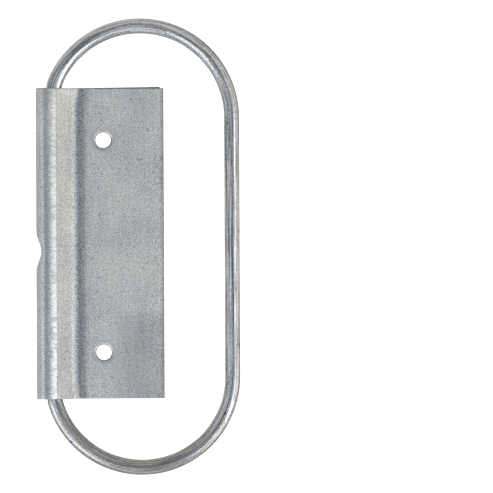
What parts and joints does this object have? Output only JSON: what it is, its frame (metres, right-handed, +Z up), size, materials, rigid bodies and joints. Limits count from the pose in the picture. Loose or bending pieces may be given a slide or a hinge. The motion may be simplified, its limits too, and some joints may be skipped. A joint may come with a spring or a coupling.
{
  "type": "ladder stabilizer",
  "caption": "Folded sheet steel roof bracket with a hinged closed wire ring along its folded edge, for steadying the side rail of a ladder at the eave.",
  "frame": {"origin": "midway between the two fixing holes, on the underside of the bracket", "axes": "+Z up off the roof, +Y along the knuckle, +X from the knuckle towards the ring's free leg"},
  "size_m": [0.106, 0.238, 0.0133],
  "materials": {
    "galvanised_sheet": "dull grey zinc coating with a fine grain, brighter along the bends",
    "zinc_plated_wire": "bright zinc plating over drawn wire, fine lengthwise streaks"
  },
  "bodies": {
    "bracket": {"bracket": "galvanised_sheet"},
    "ring": {"ring": "zinc_plated_wire"}
  },
  "joints": [
    {"name": "ring_swing", "type": "hinge", "parent": "bracket", "child": "ring", "pos_m": [-0.02555, 0, 0.00547], "axis": [0, -1, 0], "continuous": true}
  ]
}
